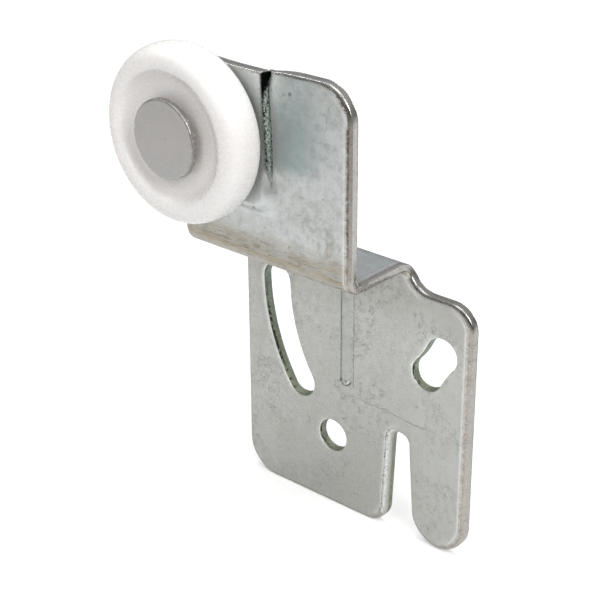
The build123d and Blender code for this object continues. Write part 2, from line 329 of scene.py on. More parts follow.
def front_raise(x, z):
    """How far the front of the upper plate stands forward of its plane.

    Beside the tear the pad drops straight into a rough crevice, and the sheet beyond it is drawn a
    little forward. Round the rest of the pad the front slopes down smoothly.
    """
    outside = pad_distance(x, z)
    torn = smoothstep(-6.5, -2.5, z)
    share = outside / tear_width(z)
    drawn = DRAW_RAISE * (1 - smoothstep(0.3, DRAW_REACH, outside))
    deepest = CREVICE_DEPTH * smoothstep(TOP_Z, TOP_Z - 0.5, z)
    rough = 0.14 * wobble(x, z, 0.0, 3.1, 31.0) + 0.1 * wobble(x, z, 0.0, 1.1, 33.0)
    crevice = (deepest + rough) * (1 - smoothstep(0.15, 1.1, share))
    bottom = drawn * smoothstep(0.2, 1.1, share) - crevice
    step = smoothstep(0.0, 0.4, share)
    split = PAD_RAISE * (1 - step) + bottom * step
    slope = PAD_RAISE * (1 - smoothstep(-0.9, 1.2, outside))
    return split * torn + slope * (1 - torn)


def back_raise(x, z):
    """How far the back face of the upper plate stands forward: one smooth draw round the pad."""
    outside = pad_distance(x, z)
    reach = 1.2 + (DRAW_REACH - 3.5) * smoothstep(-7.0, 0.0, z)
    return PAD_RAISE * (1 - smoothstep(-0.8, reach, outside))


def groove_depth(x, v):
    """Depth of the pressed groove, with a small curl of metal raised at its lower end."""
    left, right = GROOVE_X
    across = smoothstep(left - GROOVE_SIDE, left, x) * (1 - smoothstep(right, right + GROOVE_SIDE, x))
    down = smoothstep(GROOVE_BOTTOM_Z - 0.2, GROOVE_BOTTOM_Z + 0.2, v)
    up = 1 - smoothstep(V_BEND_DOWN, V_BEND_DOWN + 1.5, v)
    turn = x - left - 0.3 + 0.5 * (v - GROOVE_BOTTOM_Z)
    curl = np.exp(-(turn / 0.5) ** 2 - ((v - GROOVE_BOTTOM_Z + 0.1 * np.sin(4 * turn)) / 0.2) ** 2)
    return GROOVE_DEPTH * (across * down * up - 2.0 * curl)


def lowered(x, v):
    """The top edge is pulled down a little beside the tear."""
    pull = 0.26 * (1 - smoothstep(11.0, 15.0, x)) * smoothstep(-1.0, 7.0, x)
    return v - pull * smoothstep(V_TOP - 4.0, V_TOP, v)


def fold(x, v, depth):
    """Bend the flat sheet: depth is measured from its front face."""
    turn_down = (v - V_BEND_DOWN) / BEND_NEUTRAL
    turn_up = (v - V_BEND_UP) / BEND_NEUTRAL
    centre_down = (LOWER_Y - BEND_INSIDE, V_BEND_DOWN)
    centre_up = (UPPER_Y + BEND_OUTSIDE, LEDGE_BOTTOM_Z + BEND_OUTSIDE)
    down_radius = BEND_INSIDE + depth
    up_radius = BEND_OUTSIDE - depth
    zones = [v <= V_BEND_DOWN, v <= V_LEDGE, v <= V_BEND_UP, v <= V_UPPER]
    y_down = centre_down[0] + down_radius * np.cos(turn_down)
    z_down = centre_down[1] + down_radius * np.sin(turn_down)
    y_up = centre_up[0] - up_radius * np.sin(turn_up)
    z_up = centre_up[1] - up_radius * np.cos(turn_up)
    y_ledge = centre_down[0] - (v - V_LEDGE)
    y = np.select(zones, [LOWER_Y + depth, y_down, y_ledge, y_up], UPPER_Y + depth)
    z = np.select(zones, [v, z_down, LEDGE_BOTTOM_Z + depth, z_up], v - UPPER_SHIFT)
    return np.column_stack([x, y, z])


def roll_drop(distance, roll):
    """Drop of the front face at a distance from the edge, along a quarter ellipse."""
    width, drop = roll
    t = np.clip(1 - distance / width, 0, 1)
    return drop * (1 - np.sqrt(1 - t * t))


def surface_depths(flat, distance, roll):
    """Depth of the front and the back face at points of the flat sheet near or far from an edge."""
    x, v = flat[:, 0], flat[:, 1]
    z = v - UPPER_SHIFT
    on_upper = smoothstep(V_UPPER - 0.5, V_UPPER + 2.0, v)
    wave = 0.018 * wobble(x, v, 0.0, 0.16, 3.0) + 0.005 * wobble(x, v, 0.0, 0.7, 9.0)
    uneven = 1 + 0.22 * wobble(x, v, 0.0, 0.35, 21.0)
    front = roll_drop(distance, roll) * uneven + groove_depth(x, v) + wave
    front = front - front_raise(x, z) * on_upper
    back = SHEET - np.maximum(BACK_CHAMFER - distance, 0) + wave
    back = back - back_raise(x, z) * on_upper
    return front, np.maximum(back, front + LEAST_THICKNESS)


# ==== Bracket mesh ====================================================
def grid_points():
    """Rows of points over the blank, closer together where the sheet bends."""
    stops = [BOTTOM_Z, V_BEND_DOWN, V_LEDGE, V_BEND_UP, V_UPPER, V_TOP]
    spacings = [GRID, BEND_GRID, GRID, BEND_GRID, GRID]
    rows = []
    for low, high, spacing in zip(stops, stops[1:], spacings):
        rows += list(np.linspace(low, high, max(2, round((high - low) / spacing) + 1))[:-1])
    points = []
    for index, v in enumerate(rows):
        offset = GRID / 2 * (index % 2)
        points += [(x, v) for x in np.arange(LEFT_X + offset, LOWER_RIGHT_X, GRID)]
    return np.array(points)


def feature_lines():
    """Lines the mesh follows exactly: the sides of the groove and the columns of the tear."""
    lines = []
    groove_v = np.arange(GROOVE_BOTTOM_Z - 0.2, V_BEND_DOWN + 1.5, LINE_SPACING)
    for x in (GROOVE_X[0] - GROOVE_SIDE, GROOVE_X[0], GROOVE_X[1], GROOVE_X[1] + GROOVE_SIDE):
        lines.append(np.column_stack([np.full(len(groove_v), x), groove_v]))
    tear_z = np.arange(TEAR_END_Z, TOP_Z - OUTER_ROLL[0] - 0.12, TEAR_SPACING)
    for step in TEAR_STEPS:
        lines.append(np.column_stack([tear_x(tear_z) + step * tear_width(tear_z), tear_z + UPPER_SHIFT]))
    return lines


def clear_of(points, lines, distance):
    """Which points are farther than a distance from every line's points, sideways or along it."""
    keep = np.ones(len(points), bool)
    for line in lines:
        near = np.interp(points[:, 1], line[:, 1], line[:, 0])
        along = (points[:, 1] > line[0, 1] - distance) & (points[:, 1] < line[-1, 1] + distance)
        keep &= ~(along & (np.abs(points[:, 0] - near) < distance))
    return keep


def strip(first, second):
    """Quads between two closed rows of vertices."""
    return list(zip(first, np.roll(first, -1), np.roll(second, -1), second))


def edge_rings(loops):
    """Rings of points that follow each loop inwards over its rolled edge.

    Gives the points, their shift on the back, their distance from the edge and their roll, and then
    the indices of each loop's rings.
    """
    flat, shifts, distances, rolls, loop_rings = [], [], [], [], []
    count = 0
    for loop, roll, taper in loops:
        normals = inward_normals(loop)
        narrow = 1.0
        if roll is OUTER_ROLL:
            narrow = 0.5 + 0.5 * np.maximum(-normals[:, 0], 0)[:, None]
        rings = []
        for step in RING_STEPS:
            distance = step * roll[0]
            flat.append(loop + normals * distance)
            shifts.append(-normals * taper * (1 - step))
            distances.append(np.full(len(loop), distance))
            rolls.append(np.full((len(loop), 2), roll) * narrow)
            rings.append(np.arange(count, count + len(loop)))
            count += len(loop)
        loop_rings.append(rings)
    return [np.concatenate(part) for part in (flat, shifts, distances, rolls)], loop_rings


def inner_points(loops, lines):
    """Grid points inside all the rings, clear of the lines and of the tear."""
    points = grid_points()
    points = points[clear_of(points, lines, LINE_CLEARANCE)]
    z = points[:, 1] - UPPER_SHIFT
    share = (points[:, 0] - tear_x(z)) / tear_width(z)
    points = points[~((share > -0.2) & (share < 1.6) & (z > TEAR_END_Z - 0.1))]
    keep = np.ones(len(points), bool)
    for loop, roll, _ in loops:
        within = inside(points, loop + inward_normals(loop) * (roll[0] + RING_CLEARANCE))
        keep &= within if roll is OUTER_ROLL else ~within
    return points[keep]


def fill(loops, loop_rings, count):
    """Triangles between the innermost rings: the points to add, and every corner's index."""
    borders = [loop + inward_normals(loop) * roll[0] for loop, roll, _ in loops]
    lines = feature_lines()
    vertices = [tuple(p) for border in borders for p in border]
    edges = []
    start = 0
    for border in borders:
        edges += [(start + k, start + (k + 1) % len(border)) for k in range(len(border))]
        start += len(border)
    on_border = start
    for line in lines:
        vertices += [tuple(p) for p in line]
        edges += [(start + k, start + k + 1) for k in range(len(line) - 1)]
        start += len(line)
    vertices += [tuple(p) for p in inner_points(loops, lines)]
    result = delaunay_2d_cdt([Vector(p) for p in vertices], edges, [], 1, 1e-7)
    filled = np.array([tuple(p) for p in result[0]])
    triangles = np.array(result[2])
    middles = filled[triangles].mean(axis=1)
    keep = inside(middles, borders[0])
    for border in borders[1:]:
        keep &= ~inside(middles, border)

    # the border's points are already there, as the innermost ring of each loop
    ring_ids = np.concatenate([rings[-1] for rings in loop_rings])
    ids = np.full(len(filled), -1)
    for new, sources in enumerate(result[3]):
        for source in sources:
            if source < on_border:
                ids[new] = ring_ids[source]
    free = np.flatnonzero(ids < 0)
    ids[free] = count + np.arange(len(free))
    return filled[free], ids[triangles[keep]]


def wall_rows(loop, behind, front_depth, back_depth):
    """Rows of points down a cut wall: smooth near the front, then broken and tapered."""
    normals = inward_normals(loop)
    for t in WALL_ROWS:
        depth = front_depth * (1 - t) + back_depth * t
        broken = smoothstep(0.35, 0.6, t)
        rough = 0.035 * broken * wobble(loop[:, 0], loop[:, 1], depth, 2.6, 5.0 + 6 * t)
        shift = 0.05 * broken * t - 0.02 * sin(pi * t) + rough
        yield loop * (1 - t) + behind * t + normals * shift[:, None], depth


def store_tear(piece, x, v, on_front):
    """Where the torn and the drawn metal lie, and the place across the tear's width."""
    z = v - UPPER_SHIFT
    outside = pad_distance(x, z)
    share = outside / tear_width(z)
    on_front = on_front * (v > V_UPPER)
    torn = smoothstep(-6.0, -2.5, z) * on_front
    lower_end = smoothstep(-5.2, -2.2, z - 0.1 * (outside - 4) ** 2)
    lower_end = lower_end * (1 - 0.45 * smoothstep(3.0, 9.5, z))
    reach = smoothstep(1.0, 5.0, share) * (1 - smoothstep(4.5, 12.5, outside))
    store(piece, "across", np.clip(share, 0, 2))
    store(piece, "tear", torn * smoothstep(-0.04, 0.04, share) * (1 - smoothstep(1.1, 1.4, share)))
    # drawn: where the material paints the drawn slope's darker teal reflection
    store(piece, "drawn", on_front * lower_end * reach)


def store_edges(piece, loops, loop_rings, loop_walls, near_edge):
    """Where the rolled edges, cut walls and burred openings lie, and which of them face right."""
    count = len(near_edge)
    masks = {name: np.zeros(len(piece.data.vertices)) for name in ("wall", "facing", "opening", "burr")}
    for (loop, roll, _), rings, rows in zip(loops, loop_rings, loop_walls):
        turned_right = np.maximum(-inward_normals(loop)[:, 0], 0)
        cut, burred = 1, turned_right
        if roll is OUTER_ROLL:
            at_slot = np.abs(loop[:, 0] - OPEN_SLOT_TOP[0]) < OPEN_SLOT_ZONE
            cut, burred = at_slot & (loop[:, 1] < OPEN_SLOT_TOP[1] + 2), 0
        for ids in rings + [ring + count for ring in rings] + rows:
            masks["facing"][ids] = turned_right
            masks["opening"][ids] = cut
            masks["burr"][ids] = burred
        for t, ids in zip(WALL_ROWS, rows):
            masks["wall"][ids] = 1 - 0.4 * t
    for name, values in masks.items():
        store(piece, name, values)
    on_walls = np.ones(len(piece.data.vertices) - 2 * count)
    store(piece, "edge", np.concatenate([near_edge, near_edge, on_walls]))


def bracket_piece():
    """The folded sheet: front and back faces over the blank, joined by the cut walls of its loops."""
    loops = [
        (outer_loop(), OUTER_ROLL, 0.0),
        (circle_loop(SCREW_HOLE, SCREW_HOLE_RADIUS), HOLE_ROLL, HOLE_TAPER),
        (arc_slot_loop(), HOLE_ROLL, ARC_SLOT_TAPER),
        (double_eye_loop(), HOLE_ROLL, HOLE_TAPER),
        (circle_loop((0.0, UPPER_SHIFT), TENON_RADIUS), HOLE_ROLL, HOLE_TAPER),
    ]
    (flat, shift, distance, roll), loop_rings = edge_rings(loops)
    added, triangles = fill(loops, loop_rings, len(flat))
    flat = np.concatenate([flat, added])
    shift = np.concatenate([shift, np.zeros((len(added), 2))])
    distance = np.concatenate([distance, np.full(len(added), FAR)])
    roll = np.concatenate([roll, np.full((len(added), 2), OUTER_ROLL)])
    front_depth, back_depth = surface_depths(flat, distance, roll.T)
    back = flat + shift

    flats, depths = [flat, back], [front_depth, back_depth]
    count = len(flat)
    total = 2 * count
    faces = [tuple(t) for t in triangles] + [(c + count, b + count, a + count) for a, b, c in triangles]
    loop_walls = []
    for rings, (loop, _, _) in zip(loop_rings, loops):
        for outer, inner in zip(rings, rings[1:]):
            faces += strip(outer, inner) + strip(inner + count, outer + count)
        first = rings[0]
        rows = []
        for row, depth in wall_rows(loop, back[first], front_depth[first], back_depth[first]):
            flats.append(row)
            depths.append(depth)
            rows.append(np.arange(total, total + len(loop)))
            total += len(loop)
        for upper, lower in zip([first] + rows, rows + [first + count]):
            faces += strip(lower, upper)
        loop_walls.append(rows)

    x, v = np.concatenate(flats).T
    vertices = fold(x, lowered(x, v), np.concatenate(depths))
    piece = build_mesh("bracket_sheet", np.clip(vertices, bracket_low, bracket_high), faces, sharp=38)
    store_tear(piece, x, v, np.arange(total) < count)
    store_edges(piece, loops, loop_rings, loop_walls, 1 - np.clip(distance / roll[:, 0], 0, 1))
    return piece


# ==== Turned pieces ===================================================
def revolve(name, profile, segments, sharp=40):
    """Turn a closed section of (radius, y) points about the wheel's axis; radius 0 makes a pole."""
    vertices, faces, rows = [], [], []
    for radius, y in profile:
        if radius < 1e-9:
            rows.append([len(vertices)] * segments)
            vertices.append((0.0, y, 0.0))
            continue
        rows.append(list(range(len(vertices), len(vertices) + segments)))
        for k in range(segments):
            angle = 2 * pi * k / segments
            vertices.append((radius * cos(angle), y, radius * sin(angle)))
    closed = profile[0][0] > 1e-9 or profile[-1][0] > 1e-9
    pairs = list(zip(rows, rows[1:])) + ([(rows[-1], rows[0])] if closed else [])
    for first, second in pairs:
        for k in range(segments):
            n = (k + 1) % segments
            face = []
            for corner in (first[k], second[k], second[n], first[n]):
                if corner not in face:
                    face.append(corner)
            if len(face) > 2:
                faces.append(face)
    return build_mesh(name, vertices, faces, sharp)


def three_point_arc(a, b, c, count):
    """Points along the circle through three (radius, y) points."""
    (ax, ay), (bx, by), (cx, cy) = a, b, c
    d = 2 * (ax * (by - cy) + bx * (cy - ay) + cx * (ay - by))
    a2, b2, c2 = ax * ax + ay * ay, bx * bx + by * by, cx * cx + cy * cy
    ux = (a2 * (by - cy) + b2 * (cy - ay) + c2 * (ay - by)) / d
    uy = (a2 * (cx - bx) + b2 * (ax - cx) + c2 * (bx - ax)) / d
    radius = np.hypot(ax - ux, ay - uy)
    start, middle, end = (np.arctan2(p[1] - uy, p[0] - ux) for p in (a, b, c))
    sweep = (end - start) % (2 * pi)
    if (middle - start) % (2 * pi) > sweep:
        sweep -= 2 * pi
    angles = start + sweep * np.linspace(0, 1, count + 1)
    return [(ux + radius * np.cos(t), uy + radius * np.sin(t)) for t in angles]


def tyre_piece():
    """Nylon tyre with a crowned tread, lips, dishes, and a hub closed round the outer race."""
    radius, half = tyre_high[:2]
    floor = DISH_FLOOR[1]
    side = [(HUB_LIP_RADIUS, floor - 0.1)]
    side += [(r, floor - 0.03 * sin(pi * (r - 4.3) / 3.5)) for r in (4.3, 5.0, 5.6, 6.2, 6.8, 7.4)]
    side += three_point_arc(DISH_FLOOR, DISH_WALL, LIP_INSIDE, 18)
    side += LIP_TURN
    tread = []
    for angle in np.linspace(pi / 2, -pi / 2, 61):
        y = half * np.sign(sin(angle)) * abs(sin(angle)) ** TREAD_CROWN
        tread.append((LIP_CREST_RADIUS + (radius - LIP_CREST_RADIUS) * abs(cos(angle)) ** TREAD_CROWN, y))
    outline = side + tread + [(r, -y) for r, y in reversed(side)]
    outline += [(HUB_LIP_RADIUS, -POCKET_HALF_WIDTH), (POCKET_RADIUS, -POCKET_HALF_WIDTH)]
    outline += [(POCKET_RADIUS, POCKET_HALF_WIDTH), (HUB_LIP_RADIUS, POCKET_HALF_WIDTH)]
    return revolve("wheel_tyre_moulded", outline[::-1], TYRE_SEGMENTS, sharp=45)


def rivet_piece():
    """Flat-headed rivet: rounded head, journal, tenon, and a tail peened over behind the pad."""
    front, back = rivet_low[1], rivet_high[1]
    seat = UPPER_Y - PAD_RAISE
    tail_front = seat + SHEET
    edge, tail = [], []
    for t in np.linspace(0, pi / 2, 7):
        edge.append((HEAD_RADIUS + HEAD_EDGE * (sin(t) - 1), front + HEAD_EDGE * (1 - cos(t))))
    for t in np.linspace(0, pi / 2, 8):
        tail.append((TAIL_RADIUS + TAIL_EDGE * (cos(t) - 1), back + TAIL_EDGE * (sin(t) - 1)))
    face = [(r, front + 0.012 * (r / 5.4) ** 4) for r in (0.0, 1.2, 2.4, 3.6, 4.6, 5.2)]
    profile = face + edge + [(HEAD_RADIUS, HEAD_BACK_Y), (SHANK_RADIUS, HEAD_BACK_Y)]
    profile += [(SHANK_RADIUS, seat), (TENON_RADIUS, seat), (TENON_RADIUS, tail_front)]
    profile += [(TAIL_RADIUS, tail_front)] + tail + [(1.4, back - 0.03), (0.0, back - 0.08)]
    return revolve("axle_rivet_turned", profile, RIVET_SEGMENTS, sharp=35)


# ==== Materials =======================================================
class Graph:
    """A material's node tree: short methods that add nodes, and a colour that is built up."""

    def __init__(self, name):
        self.material = bpy.data.materials.new(name)
        self.material.use_nodes = True
        self.tree = self.material.node_tree
        self.surface = self.tree.nodes["Principled BSDF"]
        self.colour = None
        place = self.node("TexCoord").outputs["Object"]
        self.millimetres = self.scaled(place, (1 / MM, 1 / MM, 1 / MM))
        self.x, self.y, self.z = self.node("SeparateXYZ", Vector=self.millimetres).outputs

    def link(self, value, socket):
        """Join another node's output to an input, or set the input to a plain value."""
        if isinstance(value, bpy.types.NodeSocket):
            self.tree.links.new(value, socket)
        else:
            socket.default_value = value

    def node(self, kind, **inputs):
        """Add a node and fill the inputs of these names, where _ stands for a space."""
        node = self.tree.nodes.new("ShaderNode" + kind)
        for name, value in inputs.items():
            self.link(value, node.inputs[name.replace("_", " ")])
        return node

    def operate(self, kind, operation, a, b):
        node = self.node(kind)
        node.operation = operation
        self.link(a, node.inputs[0])
        self.link(b, node.inputs[1])
        return node.outputs["Value"]

    def math(self, operation, a, b=0.0):
        return self.operate("Math", operation, a, b)

    def times(self, first, *others):
        for other in others:
            first = self.math("MULTIPLY", first, other)
        return first

    def most(self, first, *others):
        for other in others:
            first = self.math("MAXIMUM", first, other)
        return first

    def rest(self, value):
        return self.math("SUBTRACT", 1.0, value)

    def band(self, value, low, high, to_low=0.0, to_high=1.0):
        """Map a value between two limits, smoothly, to two results."""
        node = self.node("MapRange", From_Min=low, From_Max=high, To_Min=to_low, To_Max=to_high)
        node.interpolation_type = "SMOOTHSTEP"
        self.link(value, node.inputs["Value"])
        return node.outputs["Result"]

    def falling(self, value, low, high):
        return self.band(value, low, high, 1.0, 0.0)

    def ridges(self, value, centre, width):
        """1 along the lines where a value crosses a centre, 0 away from them."""
        off = self.math("ABSOLUTE", self.math("SUBTRACT", value, centre))
        return self.falling(off, 0.0, width)

    def scaled(self, vector, scale, turn=(0, 0, 0)):
        return self.node("Mapping", Vector=vector, Scale=scale, Rotation=turn).outputs["Vector"]

    def noise(self, scale, detail=2.0, rough=0.5, vector=None, warp=0.0):
        node = self.node("TexNoise", Scale=scale, Detail=detail, Roughness=rough, Distortion=warp)
        self.link(self.millimetres if vector is None else vector, node.inputs["Vector"])
        return node.outputs["Fac"]

    def streaks(self, scale, detail, rough, turn=(0, 0, 0), warp=0.0):
        """Noise that is stretched by a different amount along each axis."""
        return self.noise(1.0, detail, rough, self.scaled(self.millimetres, scale, turn), warp)

    def pits(self, scale, size, chosen):
        """Round spots in some of the cells of a pattern."""
        cells = self.node("TexVoronoi", Vector=self.millimetres, Scale=scale).outputs
        return self.times(self.falling(cells["Distance"], *size), self.band(cells["Color"], *chosen))

    def attribute(self, name):
        node = self.node("Attribute")
        node.attribute_name = name
        return node.outputs["Fac"]

    def reach(self, centre=(0.0, 0.0)):
        """Distance from a line along Y, which runs through the axle or another (x, z)."""
        flat = self.scaled(self.millimetres, (1, 0, 1))
        return self.operate("VectorMath", "DISTANCE", flat, (centre[0], 0.0, centre[1]))

    def mix(self, share, a, b):
        node = self.node("Mix")
        node.data_type = "RGBA"
        self.link(share, node.inputs[0])
        for value, socket in ((a, node.inputs[6]), (b, node.inputs[7])):
            self.link(value if isinstance(value, bpy.types.NodeSocket) else (*value, 1.0), socket)
        return node.outputs[2]

    def tint(self, colour, *shares):
        """Lay another colour over the one so far, by the product of the shares."""
        self.colour = self.mix(self.times(*shares), self.colour, colour)

    def bump(self, height, distance, normal=None):
        node = self.node("Bump", Height=height, Strength=1.0, Distance=distance * MM)
        if normal is not None:
            self.link(normal, node.inputs["Normal"])
        return node.outputs["Normal"]

    def finish(self, **inputs):
        self.link(self.colour, self.surface.inputs["Base Color"])
        for name, value in inputs.items():
            self.link(value, self.surface.inputs[name.replace("_", " ")])
        return self.material


# ---- zinc-plated sheet -----------------------------------------------
FRONT_OF_STEP = (8.0, 9.5)        # y where the upper plate and its bend give way to the ledge
LOWER_FRONT = (15.0, 17.0, 18.0, 18.3)    # y range that holds the lower plate's front face only


def sheet_tone(g, mottle, blotch, grain):
    """Cloudy grey zinc, warmer on the lower plate than on the upper one, and painted lighter on the upper
    plate as painted light for its brighter reflection.
    """
    cloud = g.noise(0.09, 3, 0.55)
    # painted light: the band in z makes the upper plate lighter than the lower one
    light = g.mix(g.band(g.z, -24.0, -12.0), (0.435, 0.437, 0.407), (0.575, 0.605, 0.597))
    dull = g.mix(g.band(g.z, -24.0, -12.0), (0.395, 0.392, 0.357), (0.525, 0.545, 0.53))
    g.colour = g.mix(g.band(cloud, 0.38, 0.64), light, dull)
    g.tint((0.44, 0.44, 0.41), g.band(blotch, 0.42, 0.68, 0.0, 0.35))
    g.tint((0.40, 0.405, 0.385), g.band(mottle, 0.42, 0.68, 0.0, 0.30))
    g.tint((0.68, 0.695, 0.69), g.band(grain, 0.38, 0.66, 0.0, 0.35))


def sheet_marks(g, lower_front):
    """Fine rolling streaks, crooked marks, pits and one long scratch across the lower plate, and painted
    light toward the lower plate's right.
    """
    rolling = g.streaks((0.14, 0.14, 5.5), 2, 0.5, turn=(0, 0.55, 0))
    upright = g.streaks((6.0, 6.0, 0.14), 2, 0.6, turn=(0, 0.06, 0))
    scratch = g.most(g.band(rolling, 0.62, 0.70), g.band(upright, 0.58, 0.68))
    patches = g.band(g.noise(0.15, 2, 0.5), 0.50, 0.60)
    broken = g.band(g.noise(1.1, 2, 0.5), 0.45, 0.55)
    coarse = g.ridges(g.noise(0.42, 3, 0.6, warp=1.4), 0.5, 0.009)
    fine = g.ridges(g.noise(1.1, 3, 0.6, warp=1.6), 0.5, 0.018)
    sparser_above = g.band(g.z, -21.0, -18.0, 1.2, 0.5)
    crooked = g.times(g.most(coarse, g.times(fine, 0.4)), patches, broken, sparser_above)
    pit = g.pits(0.42, (0.06, 0.16), (0.56, 0.64))
    slope = g.math("ADD", g.z, g.times(g.x, 0.05))
    slope = g.math("ADD", slope, g.times(g.noise(0.35, 3, 0.6), 1.8))
    faded = g.band(g.noise(0.5, 3, 0.6), 0.4, 0.56, 0.25, 1.0)
    long_scratch = g.times(g.ridges(slope, -41.0, 0.12), g.band(g.x, 15.0, 18.0), lower_front, faded)
    marks = g.most(g.times(crooked, 0.65), g.times(pit, 0.75), g.times(long_scratch, 0.65))
    g.tint((0.34, 0.345, 0.33), scratch, 0.1)
    g.tint((0.13, 0.125, 0.11), marks)
    # painted light: the lower plate is painted lighter toward its right
    painted_light_right = g.times(g.band(g.x, 10.0, 36.0, 0.0, 0.4), g.falling(g.z, -24.0, -21.0))
    g.tint((0.55, 0.565, 0.535), painted_light_right)
    return marks, scratch


def sheet_groove(g, lower_front):
    """The groove's bluish floor between two thin dark lines of painted shade along its sloping sides, and
    a painted shadow and painted highlight that draw the curl of metal at its end.
    """
    left, right = GROOVE_X
    half = (right - left) / 2
    beside = g.times(g.band(g.z, -41.3, -41.0), g.falling(g.z, -20.9, -20.4), lower_front)
    from_middle = g.math("ABSOLUTE", g.math("SUBTRACT", g.x, (left + right) / 2))
    g.tint((0.41, 0.445, 0.445), g.band(from_middle, half - 0.1, half, 0.35, 0.0), beside)
    uneven = g.band(g.noise(0.8, 3, 0.6), 0.3, 0.55, 0.35, 0.95)
    # painted shade: thin dark lines along the outer creases of the groove's sloping sides
    lines = g.times(g.ridges(from_middle, half + 0.15, 0.15), beside, uneven)
    g.tint((0.12, 0.125, 0.115), lines)
    # painted shadow and painted highlight: a dark ring and a white ring draw the curl of metal at the
    # groove's end
    from_curl = g.reach((left + 0.75, GROOVE_BOTTOM_Z + 0.55))
    below = g.times(g.falling(g.z, GROOVE_BOTTOM_Z + 0.1, GROOVE_BOTTOM_Z + 0.7), lower_front)
    below = g.times(below, g.band(g.x, left - 0.2, left + 0.2))
    g.tint((0.12, 0.12, 0.10), g.ridges(from_curl, 0.95, 0.22), below)
    g.tint((0.95, 0.96, 0.95), g.ridges(from_curl, 0.62, 0.24), below)
    return lines


def sheet_stains(g, blotch):
    """A painted reflection where the sheet was drawn, darker and teal, and a lighter blue one on the
    ledge's top; painted shade on the lower plate under the ledge; and brown stains along the bends.
    """
    # painted reflection: the drawn slope is painted a darker teal
    g.tint((0.335, 0.415, 0.42), g.attribute("drawn"), 0.8)
    # painted reflection: the up-facing ledge top is painted a lighter blue
    on_ledge = g.times(g.band(g.z, -18.2, -17.9), g.falling(g.z, -17.7, -17.2), g.band(g.y, 8.0, 9.0))
    g.tint((0.62, 0.67, 0.70), on_ledge, 0.7)
    in_front = g.falling(g.y, *FRONT_OF_STEP)
    bend = g.times(g.ridges(g.z, -17.0, 4.2), in_front)
    stain = g.band(g.streaks((0.12, 0.9, 2.6), 3, 0.7), 0.36, 0.6)
    drag = g.band(g.streaks((0.5, 1.6, 5.0), 4, 0.7, warp=0.5), 0.52, 0.62)
    g.tint((0.365, 0.355, 0.315), bend, 0.7)
    g.tint((0.36, 0.305, 0.21), bend, stain, 0.65)
    g.tint((0.16, 0.13, 0.09), bend, drag, 0.65)
    smudge = g.times(g.ridges(g.z, -12.5, 5.0), g.band(g.x, 14.0, 20.0), in_front)
    g.tint((0.26, 0.215, 0.17), smudge, g.band(blotch, 0.46, 0.62), 0.45)
    # painted shade: the lower plate is darker under the ledge
    shade_under_ledge = g.times(g.ridges(g.z, -23.0, 6.0), g.band(g.y, 16.5, 17.4))
    g.tint((0.36, 0.355, 0.33), shade_under_ledge, 0.45)


def sheet_rim(g, grain, flecks):
    """The rolled outer edge: dull, flecked, with a dark seam beside it that is partly brown tint and
    partly painted reflection, a painted highlight line beside that, and painted glints as bright beads at
    the corner.
    """
    edge, facing = g.attribute("edge"), g.attribute("facing")
    plain = g.rest(g.attribute("opening"))
    rim = g.times(g.band(edge, 0.02, 0.5), plain)
    flecked = g.times(rim, facing, g.rest(g.attribute("wall")))
    tone = g.mix(g.band(g.z, -24.0, -18.0), (0.31, 0.295, 0.27), (0.395, 0.385, 0.365))
    g.tint(tone, rim, 0.7)
    g.tint((0.50, 0.42, 0.33), flecked, g.band(flecks, 0.40, 0.60, 0.0, 0.5))
    g.tint((0.70, 0.71, 0.72), rim, g.band(grain, 0.45, 0.65, 0.0, 0.3))
    # the seam is partly brown tint and partly painted reflection of the dark floor, stronger on the upper
    # plate
    wander = g.math("ADD", edge, g.times(g.noise(0.35, 3, 0.6), 0.22))
    seam_and_dark_reflection = g.times(g.ridges(wander, 0.62, 0.27), facing, plain)
    seam_and_dark_reflection = g.times(seam_and_dark_reflection, g.band(g.noise(1.1, 4, 0.7), 0.38, 0.56, 0.35, 1.0))
    g.tint((0.125, 0.09, 0.055), seam_and_dark_reflection, g.band(g.z, -20.0, -11.0, 0.3, 1.0))
    # painted glints: bright beads on the rolled edge, strongest at the top corner
    glint = g.times(g.ridges(wander, 0.46, 0.34), g.band(facing, 0.25, 0.45), plain)
    glint = g.times(glint, g.band(g.noise(1.3, 2, 0.6), 0.42, 0.52))
    g.tint((0.93, 0.93, 0.92), glint, g.band(g.z, 4.2, 6.4, 0.2, 1.0))
    # painted highlight: a light line along the roll's inner side
    g.tint((0.85, 0.86, 0.86), g.ridges(edge, 0.06, 0.12), facing, 0.6)
    return rim


